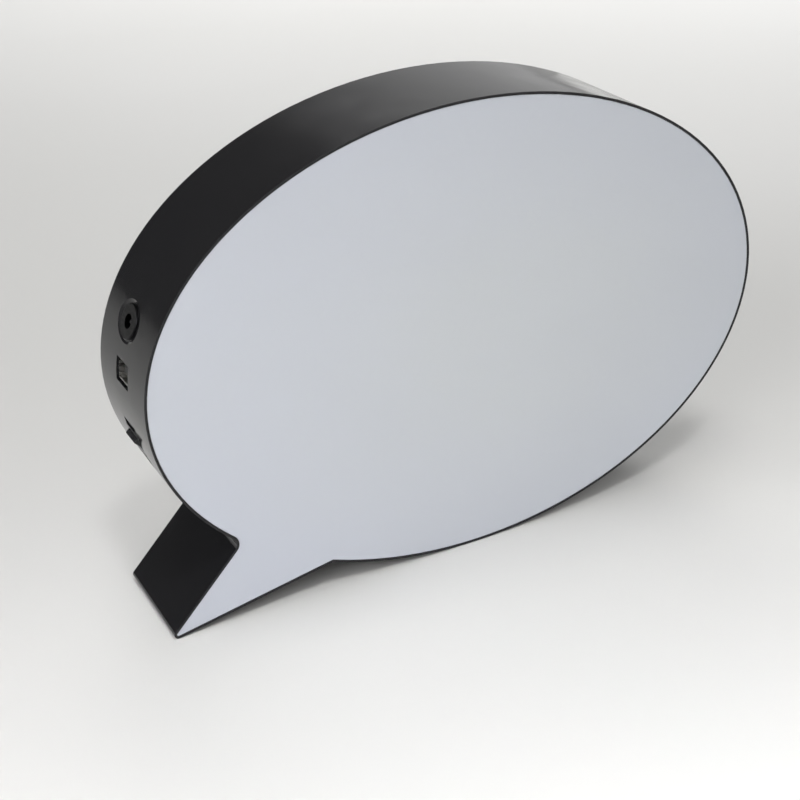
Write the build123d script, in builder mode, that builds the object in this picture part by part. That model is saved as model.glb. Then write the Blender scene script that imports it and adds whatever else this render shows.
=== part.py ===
"""Speech bubble light box: an oval case with a tail, lit from inside behind an opal writing panel.

Sizes are in millimetres. +X is to the right as seen from the front, +Y runs to the back and +Z is
up. The origin lies on the table, below the middle of the oval and halfway through the depth.
"""
from build123d import *
import os
from math import asin, atan2, cos, degrees, hypot, radians, sin, sqrt, tan

os.makedirs("parts", exist_ok=True)

# Case outline, as seen from the front
oval_width = 300.0
oval_height = 211.0
oval_tilt = -0.94  # degrees: the right end of the oval sits a little lower
case_depth = 51.0
tail_tip_share = -0.967  # middle of the tip's rounding, across the oval's half width
tail_notch_angle = 220.9  # where the tail's upper side leaves the oval, in degrees round it
tail_root_angle = 241.9  # where the tail's lower side leaves the oval
tail_reach_share = 1.4  # how far the tail's lower side runs on into the oval
notch_side_share = 0.66  # the upper side's length, as a share of the lower side's
notch_radius = 4.0
tip_radius = 2.0
overrun = 1.0  # how far a cut runs past the face that it opens

# Side frame
wall_thickness = 2.4
rim_width = 1.1  # the black edge that shows round the writing panel and the back cover
pad_bite = 0.8  # how deep moulded pads and posts run into the wall

# Writing panel
panel_thickness = 2.0
panel_recess = 0.2
panel_clearance = 0.15

# Back cover
cover_thickness = 2.2
cover_clearance = 0.2
lip_height = 3.0
lip_thickness = 1.4
lip_clearance = 0.3

# Screw posts in the side frame and the cover's countersunk screws
post_angles = (33.0, 90.0, 147.0, 275.0, 322.0)
post_radius = 3.5
post_length = 20.0
post_clearance = 0.6
screw_radius = 1.45
screw_length = 12.0
screw_head_radius = 2.8
screw_head_angle = 90.0
screw_hole_radius = 1.75
pilot_clearance = 0.05
pilot_spare_depth = 2.0
screw_recess_width = 0.8
screw_recess_length = 3.2
screw_recess_depth = 0.9
screw_head_clearance = 0.05
screw_head_inset = 0.1

# Battery bay: four AA cells side by side
cell_diameter = 14.5
cell_length = 50.5
cell_count = 4
cell_pitch = 15.0
cell_side_room = 0.4
cell_under_room = 0.3
spring_room = 7.5
bay_depth = 15.5
bay_wall = 1.6
bay_rib_width = 1.2
bay_rib_height = 4.0
bay_rib_length_share = 0.8
latch_room = 4.2
door_ledge = 2.2
collar_depth = 6.0

# Battery door, as thick as the cover
door_clearance = 0.3
door_corner_radius = 2.0
hook_width = 8.0
hook_reach = 3.0
hook_thickness = 1.2
hook_spacing_share = 0.6
hook_lip_clearance = 0.3
hook_neck = 1.8
hook_side_clearance = 0.4
latch_width = 16.0
latch_slot = 1.2
latch_clearance = 0.4
latch_round = 1.4
latch_leg = 1.2
latch_gap = 1.9
latch_depth = 5.4
latch_nose = 0.9
latch_nose_height = 1.2
grip_count = 3
grip_width = 0.6
grip_depth = 0.4
grip_pitch = 1.5
finger_notch_radius = 9.0
finger_notch_depth = 1.1

# Battery contacts
plate_thickness = 0.4
plate_depth = 12.0
plate_width = 11.5
plate_gap = 0.1
plate_lift = 0.5
plate_nub_radius = 2.4
plate_nub_height = 1.3
spring_thickness = 0.4
spring_width = 6.0
spring_bow = 5.6
spring_span = 10.0
tail_tab_width = 2.2
tail_tab_reach = 4.0
tab_clearance = 0.25
spring_tip_gap = 0.8

# Keyholes for hanging, each with a closed hood behind it
keyhole_spacing = 156.0
keyhole_height_share = 0.16  # above the oval's middle, in shares of its half height
keyhole_entry_radius = 4.2
keyhole_slot_radius = 2.2
keyhole_slot_length = 9.0
hood_depth = 7.0
hood_wall = 1.4
hood_room = 5.2

# Reflector sheet and light strips
sheet_thickness = 0.6
sheet_clearance = 0.5
strip_width = 8.0
strip_thickness = 1.2
lamp_length = 3.5
lamp_width = 2.8
lamp_thickness = 0.8
lamp_margin = 9.0  # from a strip's end to the middle of its first lamp
strip_gap = 2.3  # above and below the bay's collar
strip_side_gap = 7.7  # beside the collar
strip_board_gap = 10.4
far_strip_share = 0.535  # of the way from the near strips to the sheet's edge
# Each long strip: node name, side (1 is above the bay) and whether it is a far one, its place in shares
# of the oval's half width, its length in shares of the room there, and how many lamps it has.
long_strip_shares = (
    ("led_strip_top", 1, True, 0.0, 0.88, 8),
    ("led_strip_upper", 1, False, 0.0, 0.88, 11),
    ("led_strip_lower", -1, False, 0.02, 0.85, 11),
    ("led_strip_bottom", -1, True, 0.04, 0.83, 7),
)
left_lamp_count = 3
right_lamp_count = 4
right_strip_share = 0.82  # its outer end, in shares of the sheet's half width
# Jumper wires between neighbouring strips: the side in shares of their place (-1 is the left), and the
# strips they join
link_side_shares = (
    (-1, "led_strip_upper", "led_strip_top"),
    (-1, "led_strip_left", "led_strip_upper"),
    (-1, "led_strip_lower", "led_strip_left"),
    (1, "led_strip_right", "led_strip_upper"),
    (-1, "led_strip_bottom", "led_strip_lower"),
)
link_pitch = 3.0

# Fittings in the left wall, placed round the oval in degrees and behind the middle of the depth
jack_angle = 164.3
jack_offset = 1.6
socket_angle = 175.53
socket_offset = -0.3
rocker_angle = 193.6
rocker_offset = -0.7
seat_margin = 0.07
seat_thickness = 2.6

# Round power jack in a shallow dish with sloping sides
jack_seat_radius = 10.4
jack_floor_radius = 8.0
jack_flange_radius = 7.4
jack_flange_thickness = 1.0
jack_flange_chamfer = 0.4
jack_barrel_radius = 5.5
jack_barrel_length = 10.0
jack_barrel_clearance = 0.15
jack_block_radius = 5.0
jack_block_length = 4.0
jack_bore_radius = 3.1
jack_bore_depth = 9.5
jack_pin_radius = 1.05
jack_pin_recess = 1.0
jack_pin_chamfer = 0.4
jack_nut_flats = 14.0
jack_nut_thickness = 2.5
jack_nut_clearance = 0.1
jack_tab_width = 2.2
jack_tab_thickness = 0.5
jack_tab_length = 4.0
jack_tab_spacing = 5.0

# Square socket and the board that carries it
socket_window_width = 13.2
socket_window_height = 10.4
socket_window_drop = 0.4  # from the socket's middle down to the window's
socket_width = 12.4
socket_height = 9.2
socket_corner = 2.2
socket_length = 16.0
socket_shell_thickness = 0.5
socket_recess = 1.1
socket_tongue_width = 5.6
socket_tongue_height = 3.2
socket_tongue_recess = 1.0
socket_floor_depth = 9.0
socket_insert_clearance = 0.05
contact_width = 1.0
contact_thickness = 0.2
contact_pitch = 2.5
contact_length = 6.5
board_width = 30.0
board_length = 36.0
board_thickness = 1.6
board_wall_gap = 1.2
board_hole_radius = 1.6
board_hole_inset = 4.5
shelf_width = 28.0
shelf_length = 27.0
shelf_thickness = 2.0
shelf_post_radius = 3.0
shelf_post_height = 6.0
board_screw_radius = 1.25
board_screw_length = 6.0
board_screw_head_radius = 2.4
board_screw_head_height = 1.5
chip_width = 5.0
chip_length = 6.2
chip_height = 1.6
chip_leg_reach = 1.0
chip_leg_width = 0.5
chip_leg_pitch = 1.27
chip_leg_count = 4
chip_leg_thickness = 0.2
part_side = 10.5  # the chip and the capacitor stand this far to either side of the socket
part_depth = 10.5  # and this far inwards from the board's edge
capacitor_radius = 3.2
capacitor_height = 7.5
capacitor_chamfer = 0.4

# Rocker switch: case, terminals and the rocker, which rests with its upper end out
rocker_pocket_length = 21.4  # flat pocket in the wall
bezel_side_lap = 0.2
bezel_end_lap = 0.8
bezel_thickness = 0.7
bezel_round = 0.3
bezel_clearance = 0.15
case_side_wall = 0.5
case_end_wall = 0.9
case_clearance = 0.1
case_reach = 14.0
ear_width = 1.1
ear_drop = 5.0
ear_length = 6.0
rocker_width = 10.0
rocker_clearance = 0.3
rocker_end_radius = 5.3  # the ends are rounded about the pivot, and heights are above it
rocker_end_height = 2.6
rocker_middle_height = 1.6
rocker_foot_height = -0.6
rocker_hub_half_width = 2.2
rocker_hub_tip_half_width = 1.4
rocker_hub_drop = 2.4
rocker_tilt = 12.0
rocker_edge_chamfer = 0.3
pivot_depth = 1.5
pivot_radius = 1.2
pivot_length = 0.45
pivot_clearance = 0.06
well_depth = 6.5
terminal_width = 4.8
terminal_thickness = 0.8
terminal_length = 7.0
terminal_spacing = 6.5

# Insulated leads
lead_radius = 0.7
lead_sides = 6
lead_bend_share = 0.45  # of the shorter run beside each bend
lead_pad_inset = 3.0  # from the board's inner edge to the leads' solder pads
lead_pad_pitch = 3.2
lead_pad_gap = 2.5
battery_pad_gap = 5.2  # from the jack's pads to the battery's
lead_first_run = 9.0
lead_last_run = 13.0
lead_long_run = 11.0
short_lead_run = 5.5
tab_lead_run = 19.0
strip_lead_run = 9.0
strip_lead_inset = 5.5

# Places that follow from the sizes above
front_face = -case_depth / 2
back_face = case_depth / 2
half_width = oval_width / 2
half_height = oval_height / 2
oval_middle = hypot(half_width * sin(radians(oval_tilt)), half_height * cos(radians(oval_tilt)))
panel_front = front_face + panel_recess
panel_back = panel_front + panel_thickness
cover_front = back_face - cover_thickness
sheet_front = cover_front - sheet_thickness
strip_front = sheet_front - strip_thickness
wall_radius = half_height ** 2 / half_width  # of the oval's curve at its left end


def oval_point(angle, inset=0.0):
    """Point (x, z) on the oval, shrunk all round by inset, at an angle round it."""
    turn, tilt = radians(angle), radians(oval_tilt)
    across = (half_width - inset) * cos(turn)
    up = (half_height - inset) * sin(turn)
    return (across * cos(tilt) - up * sin(tilt), oval_middle + across * sin(tilt) + up * cos(tilt))


def depth_plane(y):
    """Upright plane at depth y, drawn on as seen from the front; its normal points to the front."""
    return Plane((0, y, 0), x_dir=(1, 0, 0), z_dir=(0, -1, 0))


def wall_plane(angle, behind):
    """Plane on the outside of the wall: x to the front, y up along the wall and z outwards."""
    x, z = oval_point(angle)
    turn = radians(angle)
    out = atan2(sin(turn) / half_height, cos(turn) / half_width) + radians(oval_tilt)
    return Plane((x, behind, z), x_dir=(0, -1, 0), z_dir=(cos(out), 0, sin(out)))


def flat_depth(half_span):
    """How deep a flat seat of this half span has to lie in the curved wall at the left end."""
    return wall_radius - sqrt(wall_radius ** 2 - half_span ** 2) + seat_margin


# The tail: two straight sides that touch the tip's rounding, which stands on the table
tip_middle = (half_width * tail_tip_share, tip_radius)
tail_notch = oval_point(tail_notch_angle)
tail_root = oval_point(tail_root_angle)


def side_angle(end, side):
    """Direction of the straight side from the tip's rounding to a point on the oval."""
    across, up = end[0] - tip_middle[0], end[1] - tip_middle[1]
    return atan2(up, across) - side * asin(tip_radius / hypot(across, up))


notch_side_angle = side_angle(tail_notch, 1)
root_side_angle = side_angle(tail_root, -1)
tail_half_angle = (notch_side_angle - root_side_angle) / 2
tail_way = (notch_side_angle + root_side_angle) / 2
tail_reach = tail_reach_share * hypot(tail_root[0] - tip_middle[0], tail_root[1])


def tail_point(inset):
    """Point on the tail's middle line that is this far inside both of its sides."""
    along = (inset - tip_radius) / sin(tail_half_angle)
    return (tip_middle[0] + along * cos(tail_way), tip_middle[1] + along * sin(tail_way))


def bubble_block(front, back, inset=0.0):
    """Solid of the oval and its tail between two depths, shrunk all round by inset."""
    tip = tail_point(inset)
    notch_reach = tail_reach * notch_side_share
    notch_end = (tip[0] + notch_reach * cos(notch_side_angle), tip[1] + notch_reach * sin(notch_side_angle))
    root_end = (tip[0] + tail_reach * cos(root_side_angle), tip[1] + tail_reach * sin(root_side_angle))
    with BuildPart() as block:
        with BuildSketch(depth_plane(front)):
            with Locations((0, oval_middle)):
                Ellipse(half_width - inset, half_height - inset, rotation=oval_tilt)
            Polygon(tip, root_end, notch_end, align=None)
        extrude(amount=front - back)
        corners = block.edges().filter_by(Axis.Y)
        notch = oval_point(tail_notch_angle, inset)
        fillet(corners.sort_by_distance((notch[0], (front + back) / 2, notch[1]))[0], notch_radius + inset)
        if inset < tip_radius:
            corners = block.edges().filter_by(Axis.Y)
            fillet(corners.sort_by_distance((tip[0], (front + back) / 2, tip[1]))[0], tip_radius - inset)
    return block.part


post_inset = wall_thickness + post_radius - pad_bite
post_places = [oval_point(angle, post_inset) for angle in post_angles] + [tail_point(post_inset)]
jack_plane = wall_plane(jack_angle, jack_offset)
socket_plane = wall_plane(socket_angle, socket_offset)
rocker_plane = wall_plane(rocker_angle, rocker_offset)
jack_seat_depth = flat_depth(jack_seat_radius)
jack_seat_slope = (jack_seat_radius - jack_floor_radius) / jack_seat_depth
rocker_seat_depth = flat_depth(rocker_pocket_length / 2)
well_width = rocker_width + 2 * rocker_clearance
well_length = 2 * (rocker_end_radius + rocker_clearance)
case_width = well_width + 2 * case_side_wall
case_length = well_length + 2 * case_end_wall
bezel_width = case_width + 2 * bezel_side_lap
bezel_length = case_length + 2 * bezel_end_lap
rocker_pocket_width = bezel_width + 2 * bezel_clearance
board_under = -socket_height / 2 - board_thickness
board_plane = Plane(socket_plane.from_local_coords((0, board_under, 0)),
                    x_dir=socket_plane.x_dir, z_dir=socket_plane.y_dir)  # x front, y inwards, z up
board_start = wall_thickness + board_wall_gap
board_end = board_start + board_length
board_screw_places = [(side * (board_width / 2 - board_hole_inset), board_start + shelf_length
                       - shelf_post_radius - board_wall_gap) for side in (-1, 1)]

# Side frame: one moulded band with rebates for the panel and the cover
with BuildPart() as side_frame:
    add(bubble_block(front_face, back_face))
    add(bubble_block(front_face - overrun, back_face + overrun, wall_thickness), mode=Mode.SUBTRACT)
    add(bubble_block(front_face - overrun, panel_back, rim_width), mode=Mode.SUBTRACT)
    add(bubble_block(cover_front, back_face + overrun, rim_width), mode=Mode.SUBTRACT)
    # Screw posts, fused to the wall along their length
    with BuildSketch(depth_plane(cover_front)):
        with Locations(*post_places):
            Circle(post_radius)
    extrude(amount=post_length)
    with BuildSketch(depth_plane(cover_front)):
        with Locations(*post_places):
            Circle(screw_radius + pilot_clearance)
    extrude(amount=screw_length - cover_thickness + pilot_spare_depth, mode=Mode.SUBTRACT)
    # Flat pads inside the wall, behind the jack and the rocker switch
    with BuildSketch(jack_plane.offset(-jack_seat_depth - seat_thickness)):
        Circle(jack_seat_radius)
    extrude(amount=seat_thickness - pad_bite)
    with BuildSketch(rocker_plane.offset(-rocker_seat_depth - seat_thickness)):
        Rectangle(rocker_pocket_width + 2 * pad_bite, rocker_pocket_length + 2 * pad_bite)
    extrude(amount=seat_thickness - pad_bite)
    # Shelf that carries the board, with two screw posts under it
    with BuildSketch(board_plane):
        with Locations((0, pad_bite)):
            Rectangle(shelf_width, board_start + shelf_length - pad_bite, align=(Align.CENTER, Align.MIN))
    extrude(amount=-shelf_thickness)
    with BuildSketch(board_plane):
        with Locations(*board_screw_places):
            Circle(shelf_post_radius)
    extrude(amount=-shelf_post_height)
    with BuildSketch(board_plane):
        with Locations(*board_screw_places):
            Circle(board_screw_radius + pilot_clearance)
    extrude(amount=-shelf_post_height, mode=Mode.SUBTRACT)
    # Flat seats and holes for the jack, the socket and the switch
    with Locations(jack_plane.offset(-jack_seat_depth)):
        Cone(jack_floor_radius, jack_seat_radius + jack_seat_slope * overrun, jack_seat_depth + overrun,
             align=(Align.CENTER, Align.CENTER, Align.MIN), mode=Mode.SUBTRACT)
    with BuildSketch(jack_plane.offset(-jack_seat_depth - seat_thickness - overrun)):
        Circle(jack_barrel_radius + jack_barrel_clearance)
    extrude(amount=seat_thickness + 2 * overrun, mode=Mode.SUBTRACT)
    with BuildSketch(socket_plane.offset(-wall_thickness - overrun)):
        with Locations((0, -socket_window_drop)):
            Rectangle(socket_window_width, socket_window_height)
    extrude(amount=wall_thickness + 2 * overrun, mode=Mode.SUBTRACT)
    with BuildSketch(rocker_plane.offset(-rocker_seat_depth)):
        Rectangle(rocker_pocket_width, rocker_pocket_length)
    extrude(amount=rocker_seat_depth + overrun, mode=Mode.SUBTRACT)
    with BuildSketch(rocker_plane.offset(-rocker_seat_depth - seat_thickness - overrun)):
        Rectangle(case_width + 2 * case_clearance, case_length + 2 * case_clearance)
    extrude(amount=seat_thickness + 2 * overrun, mode=Mode.SUBTRACT)
side_frame.part.label = "side_frame"
export_step(side_frame.part, "parts/side_frame.step")

# Writing panel: opal sheet that seats in the front rebate
with BuildPart() as writing_panel:
    add(bubble_block(panel_front, panel_back, rim_width + panel_clearance))
writing_panel.part.label = "writing_panel"
export_step(writing_panel.part, "parts/writing_panel.step")

# Back cover: inset plate with a locating lip, the battery bay and two keyholes
bay_length = cell_length + spring_room
bay_height = cell_count * cell_pitch + 2 * cell_side_room + latch_room
bay_bottom = oval_middle - bay_height / 2
bay_floor = cover_front - bay_depth
cell_middle = bay_floor + cell_under_room + cell_diameter / 2
row_heights = [bay_bottom + cell_side_room + cell_pitch * (row + 1 / 2) for row in range(cell_count)]
door_length = bay_length + 2 * door_ledge
door_height = bay_height + 2 * door_ledge
door_bottom = bay_bottom - door_ledge
door_top = door_bottom + door_height
hook_front = cover_front - hook_lip_clearance - hook_thickness
hook_swing = hypot(hook_reach + door_clearance, back_face - hook_front) + door_clearance
hook_places = [side * hook_spacing_share * door_length / 2 for side in (-1, 1)]
latch_strip = 2 * latch_leg + latch_gap
latch_front = back_face - latch_depth
collar_margin = door_clearance + hook_reach + 2 * bay_wall
lip_inset = wall_thickness + lip_clearance
sheet_inset = lip_inset + lip_thickness + sheet_clearance
keyhole_height = oval_middle + keyhole_height_share * half_height
keyhole_places = [(side * keyhole_spacing / 2, keyhole_height) for side in (-1, 1)]
hood_middle = keyhole_height + keyhole_slot_length / 2
hood_height = keyhole_slot_length + 2 * hood_room
plate_front = bay_floor + plate_lift
# Each contact plate: the end of the bay (-1 is the left), and the heights of the cells that it touches.
# The lowest and the highest plate of the left end carry the solder tabs.
plate_groups = ((-1, row_heights[:1]), (-1, row_heights[1:-1]), (-1, row_heights[-1:]),
                (1, row_heights[:2]), (1, row_heights[2:]))
spring_sides = [-1 if row % 2 == 0 else 1 for row in range(cell_count)]
tab_heights = (row_heights[0], row_heights[-1])

with BuildPart() as back_cover:
    add(bubble_block(cover_front - lip_height, cover_front, lip_inset))
    add(bubble_block(cover_front - lip_height - overrun, cover_front + overrun, lip_inset + lip_thickness),
        mode=Mode.SUBTRACT)
    with BuildSketch(depth_plane(cover_front)):
        with Locations(*post_places):
            Circle(post_radius + post_clearance)
    extrude(amount=lip_height + overrun, mode=Mode.SUBTRACT)
    add(bubble_block(cover_front, back_face, rim_width + cover_clearance))
    # Bay box and the collar that frames the door
    with BuildSketch(depth_plane(cover_front)):
        with Locations((0, oval_middle)):
            Rectangle(bay_length + 2 * bay_wall, bay_height + 2 * bay_wall)
    extrude(amount=bay_depth + bay_wall)
    with BuildSketch(depth_plane(cover_front)):
        with Locations((0, oval_middle)):
            RectangleRounded(door_length + 2 * bay_wall, door_height + 2 * collar_margin, door_corner_radius)
    extrude(amount=collar_depth)
    # Hoods behind the keyholes
    with BuildSketch(depth_plane(cover_front)):
        for x, height in keyhole_places:
            with Locations((x, hood_middle)):
                Rectangle(2 * (hood_room + hood_wall), hood_height + 2 * hood_wall)
    extrude(amount=hood_depth)
    # Door opening, bay cavity and the ribs between the cells
    with BuildSketch(depth_plane(cover_front)):
        with Locations((0, oval_middle)):
            RectangleRounded(door_length + 2 * door_clearance, door_height + 2 * door_clearance,
                             door_corner_radius + door_clearance)
    extrude(amount=-cover_thickness - overrun, mode=Mode.SUBTRACT)
    with BuildSketch(depth_plane(bay_floor)):
        with Locations((0, oval_middle)):
            Rectangle(bay_length, bay_height)
    extrude(amount=-bay_depth - overrun, mode=Mode.SUBTRACT)
    with BuildSketch(depth_plane(bay_floor)):
        with Locations(*[(0, height + cell_pitch / 2) for height in row_heights]):
            Rectangle(bay_length * bay_rib_length_share, bay_rib_width)
    extrude(amount=-bay_rib_height)
    # Pockets for the contact plates and slots for their solder tabs
    with BuildSketch(depth_plane(plate_front)):
        for side, heights in plate_groups:
            middle = (heights[0] + heights[-1]) / 2
            with Locations((side * (bay_length + plate_thickness + plate_gap) / 2, middle)):
                Rectangle(plate_thickness + plate_gap, heights[-1] - heights[0] + plate_width + 2 * plate_gap)
    extrude(amount=plate_front - cover_front - overrun, mode=Mode.SUBTRACT)
    with BuildSketch(depth_plane(plate_front - tab_clearance)):
        for height in tab_heights:
            with Locations((-(bay_length + bay_wall) / 2 - overrun / 2, height)):
                Rectangle(bay_wall + overrun, tail_tab_width + 2 * tab_clearance)
    extrude(amount=-plate_thickness - 2 * tab_clearance, mode=Mode.SUBTRACT)
    # Pockets under the lip for the door's hooks and for its latch
    with BuildSketch(depth_plane(back_face - hook_swing)):
        with Locations(*[(x, bay_bottom + overrun) for x in hook_places]):
            Rectangle(hook_width + 2 * hook_side_clearance,
                      door_ledge + door_clearance + hook_reach + hook_lip_clearance + overrun,
                      align=(Align.CENTER, Align.MAX))
    extrude(amount=cover_thickness - hook_swing, mode=Mode.SUBTRACT)
    with BuildSketch(depth_plane(latch_front - latch_clearance)):
        with Locations((0, oval_middle + bay_height / 2 - overrun)):
            Rectangle(latch_width + 2 * latch_clearance,
                      door_ledge + door_clearance + latch_nose + latch_clearance + overrun,
                      align=(Align.CENTER, Align.MIN))
    extrude(amount=latch_front - latch_clearance - cover_front, mode=Mode.SUBTRACT)
    with BuildSketch(depth_plane(back_face - finger_notch_depth)):
        with Locations((0, door_top)):
            Circle(finger_notch_radius)
    extrude(amount=-finger_notch_depth - overrun, mode=Mode.SUBTRACT)
    # Keyholes, open into their hoods
    with BuildSketch(depth_plane(cover_front - hood_depth + hood_wall)):
        for x, height in keyhole_places:
            with Locations((x, hood_middle)):
                Rectangle(2 * hood_room, hood_height)
    extrude(amount=hood_wall - hood_depth, mode=Mode.SUBTRACT)
    with BuildSketch(depth_plane(cover_front - overrun)):
        for x, height in keyhole_places:
            with Locations((x, height)):
                Circle(keyhole_entry_radius)
                Rectangle(2 * keyhole_slot_radius, keyhole_slot_length, align=(Align.CENTER, Align.MIN))
            with Locations((x, height + keyhole_slot_length)):
                Circle(keyhole_slot_radius)
    extrude(amount=-cover_thickness - 2 * overrun, mode=Mode.SUBTRACT)
    # Countersunk screw holes over the posts
    with Locations(*[Location((x, back_face, height), (-90, 0, 0)) for x, height in post_places]):
        CounterSinkHole(screw_hole_radius, screw_head_radius + screw_head_inset + screw_head_clearance,
                        depth=cover_thickness + overrun, counter_sink_angle=screw_head_angle)
back_cover.part.label = "back_cover"
export_step(back_cover.part, "parts/back_cover.step")

# Cover screws: one countersunk screw, copied to every post
with BuildPart() as cover_screw:
    with BuildSketch(Plane.XZ):
        Polygon((0, -screw_head_inset), (screw_head_radius, -screw_head_inset),
                (screw_radius, -screw_head_inset - screw_head_radius + screw_radius),
                (screw_radius, -screw_length), (0, -screw_length), align=None)
    revolve(axis=Axis.Z)
    with BuildSketch(Plane.XY.offset(-screw_head_inset)):
        Rectangle(screw_recess_length, screw_recess_width)
        Rectangle(screw_recess_width, screw_recess_length)
    extrude(amount=-screw_recess_depth, mode=Mode.SUBTRACT)
with BuildPart() as cover_screws:
    with Locations(*[Location((x, back_face, height), (-90, 0, 0)) for x, height in post_places]):
        add(cover_screw.part)
cover_screws.part.label = "cover_screws"
export_step(cover_screws.part, "parts/cover_screws.step")

# Battery door: plate with two hooks below and a folded spring latch above
with BuildPart() as battery_door:
    with BuildSketch(depth_plane(cover_front)):
        with Locations((0, oval_middle)):
            RectangleRounded(door_length, door_height, door_corner_radius)
        with Locations((0, door_top)):
            Rectangle(latch_width + 2 * latch_slot, latch_strip, align=(Align.CENTER, Align.MAX),
                      mode=Mode.SUBTRACT)
    extrude(amount=-cover_thickness)
    for x in hook_places:
        with BuildSketch(Plane.YZ.offset(x - hook_width / 2)):
            Polygon((cover_front, door_bottom + hook_neck), (cover_front, door_bottom),
                    (hook_front + hook_thickness, door_bottom),
                    (hook_front + hook_thickness, door_bottom - door_clearance - hook_reach),
                    (hook_front, door_bottom - door_clearance - hook_reach),
                    (hook_front, door_bottom + hook_neck), align=None)
        extrude(amount=hook_width)
    with BuildSketch(Plane.YZ.offset(-latch_width / 2)) as latch_fold:
        with Locations((latch_front, door_top)):
            Rectangle(latch_depth, latch_strip, align=(Align.MIN, Align.MAX))
        fillet(latch_fold.vertices().group_by(Axis.X)[0], latch_round)
        with Locations((latch_front + latch_leg, door_top - latch_leg)):
            Rectangle(latch_depth - latch_leg, latch_gap, align=(Align.MIN, Align.MAX), mode=Mode.SUBTRACT)
        Polygon((cover_front - hook_lip_clearance, door_top - latch_leg),
                (cover_front - hook_lip_clearance, door_top + door_clearance + latch_nose),
                (cover_front - hook_lip_clearance - latch_nose_height, door_top),
                (cover_front - hook_lip_clearance - latch_nose_height, door_top - latch_leg), align=None)
    extrude(amount=latch_width)
    with BuildSketch(depth_plane(back_face - grip_depth)):
        with Locations((0, door_top - latch_strip - latch_round - grip_count * grip_pitch / 2)):
            with GridLocations(0, grip_pitch, 1, grip_count):
                Rectangle(latch_width, grip_width)
    extrude(amount=-grip_depth - overrun, mode=Mode.SUBTRACT)
battery_door.part.label = "battery_door"
export_step(battery_door.part, "parts/battery_door.step")

# Contact plates in the bay's ends, with a nub for each positive end and two solder tabs
with BuildPart() as battery_plates:
    with BuildSketch(depth_plane(plate_front)):
        for side, heights in plate_groups:
            middle = (heights[0] + heights[-1]) / 2
            with Locations((side * (bay_length + plate_thickness) / 2, middle)):
                Rectangle(plate_thickness, heights[-1] - heights[0] + plate_width)
    extrude(amount=-plate_depth)
    for row, spring_side in enumerate(spring_sides):
        nub_plane = Plane((-spring_side * bay_length / 2, cell_middle, row_heights[row]),
                          z_dir=(spring_side, 0, 0))
        with BuildSketch(nub_plane):
            Circle(plate_nub_radius)
        extrude(amount=plate_nub_height)
    with BuildSketch(depth_plane(plate_front)):
        for height in tab_heights:
            with Locations((-bay_length / 2, height)):
                Rectangle(plate_thickness + bay_wall + tail_tab_reach, tail_tab_width,
                          align=(Align.MAX, Align.CENTER))
    extrude(amount=-plate_thickness)
battery_plates.part.label = "battery_plates"
export_step(battery_plates.part, "parts/battery_plates.step")

# Leaf springs, one for each cell's negative end
with BuildPart() as battery_springs:
    for row, spring_side in enumerate(spring_sides):
        foot = spring_side * (bay_length - spring_thickness) / 2
        with BuildSketch(Plane.XY.offset(row_heights[row] - spring_width / 2)):
            with BuildLine():
                ThreePointArc((foot, cell_middle - spring_span / 2), (foot - spring_side * spring_bow, cell_middle),
                              (foot - spring_side * spring_tip_gap, cell_middle + spring_span / 2))
            trace(line_width=spring_thickness)
        extrude(amount=spring_width)
battery_springs.part.label = "battery_springs"
export_step(battery_springs.part, "parts/battery_springs.step")

# Reflector sheet: white sheet on the inside of the cover
with BuildPart() as reflector_sheet:
    add(bubble_block(sheet_front, cover_front, sheet_inset))
    with BuildSketch(depth_plane(cover_front)):
        with Locations(*post_places):
            Circle(post_radius + post_clearance)
        with Locations((0, oval_middle)):
            Rectangle(door_length + 2 * bay_wall + 2 * sheet_clearance,
                      door_height + 2 * collar_margin + 2 * sheet_clearance)
        with Locations(*[(x, hood_middle) for x, height in keyhole_places]):
            Rectangle(2 * (hood_room + hood_wall + sheet_clearance), hood_height + 2 * (hood_wall + sheet_clearance))
    extrude(amount=sheet_thickness + overrun, mode=Mode.SUBTRACT)
reflector_sheet.part.label = "reflector_sheet"
export_step(reflector_sheet.part, "parts/reflector_sheet.step")

# Light strips round the bay, with their lamps as one group
collar_half_length = door_length / 2 + bay_wall
sheet_half_width = half_width - sheet_inset
sheet_half_height = half_height - sheet_inset
near_row = door_height / 2 + collar_margin + strip_gap + strip_width / 2
far_row = near_row + far_strip_share * (sheet_half_height - near_row)
inner_end = collar_half_length + strip_side_gap
left_end = board_plane.from_local_coords((0, board_end, 0)).X + strip_board_gap
right_end = right_strip_share * sheet_half_width
strips = [("led_strip_left", 0, (left_end - inner_end) / 2, -inner_end - left_end, left_lamp_count),
          ("led_strip_right", 0, (right_end + inner_end) / 2, right_end - inner_end, right_lamp_count)]
for name, side, far, place_share, length_share, lamp_count in long_strip_shares:
    row = far_row if far else near_row
    room = 2 * sheet_half_width * sqrt(1 - ((row + strip_width / 2) / sheet_half_height) ** 2)
    strips.append((name, side * row, place_share * half_width, length_share * room, lamp_count))
strip_heights = {}
lamp_places = []
for name, row, place, length, lamp_count in strips:
    height = oval_middle + row
    strip_heights[name] = height
    lamp_room = length - 2 * lamp_margin
    lamp_places += [(place + lamp_room * (lamp / (lamp_count - 1) - 1 / 2), height) for lamp in range(lamp_count)]
    with BuildPart() as led_strip:
        with BuildSketch(depth_plane(sheet_front)):
            with Locations((place, height)):
                Rectangle(length, strip_width)
        extrude(amount=strip_thickness)
    led_strip.part.label = name
    export_step(led_strip.part, f"parts/{name}.step")

with BuildPart() as led_lamps:
    with BuildSketch(depth_plane(strip_front)):
        with Locations(*lamp_places):
            Rectangle(lamp_length, lamp_width)
    extrude(amount=lamp_thickness)
led_lamps.part.label = "led_lamps"
export_step(led_lamps.part, "parts/led_lamps.step")

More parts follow.
